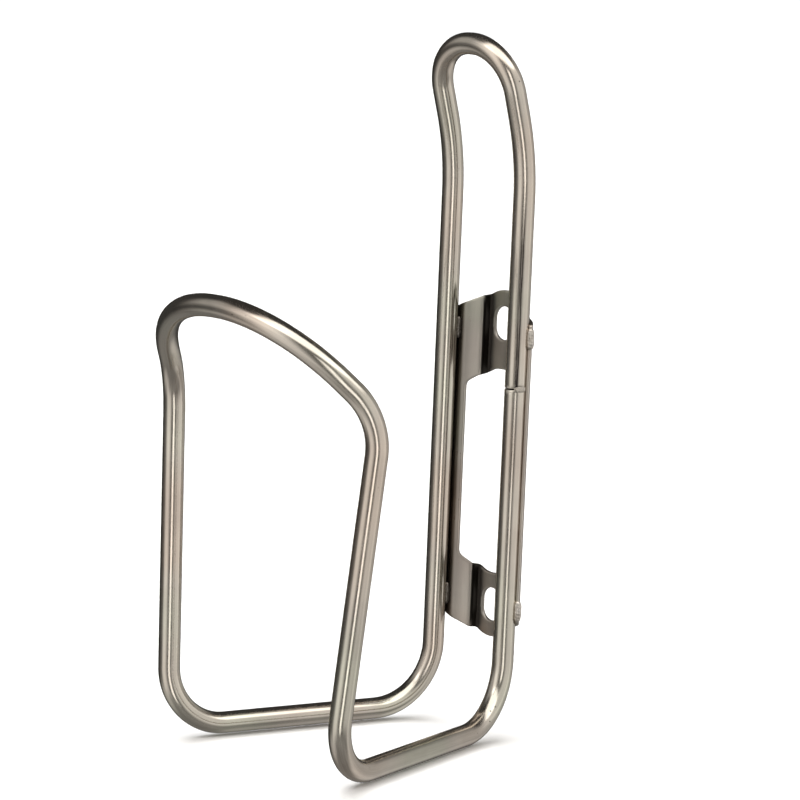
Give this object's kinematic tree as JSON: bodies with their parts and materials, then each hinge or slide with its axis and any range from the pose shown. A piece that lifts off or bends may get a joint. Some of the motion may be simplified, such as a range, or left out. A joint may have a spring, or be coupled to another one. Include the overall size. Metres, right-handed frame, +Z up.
{
  "type": "water bottle cage",
  "caption": "Bicycle bottle cage bent from one round stainless tube, with a stamped plate welded behind its rear uprights that bolts to a frame's bottle bosses.",
  "frame": {"origin": "middle of the two-slot bolt pattern, on the mounting plate's rear face", "axes": "+Z up along the rear uprights and the bottle, +Y rearward out of the mounting face towards the bicycle's tube, -Y towards the front hoop, +X to the right seen from the front hoop"},
  "size_m": [0.07, 0.0867, 0.155],
  "materials": {
    "tube_steel": "satin, drawn and lightly polished",
    "plate_steel": "dull mill finish",
    "weld_bead": "bright, slightly heat-tinted"
  },
  "bodies": {
    "root": {"cage_tube": "tube_steel", "joint_weld": "weld_bead", "mounting_plate": "plate_steel", "plate_weld_upper_left": "weld_bead", "plate_weld_upper_right": "weld_bead", "plate_weld_lower_left": "weld_bead", "plate_weld_lower_right": "weld_bead"}
  },
  "joints": []
}
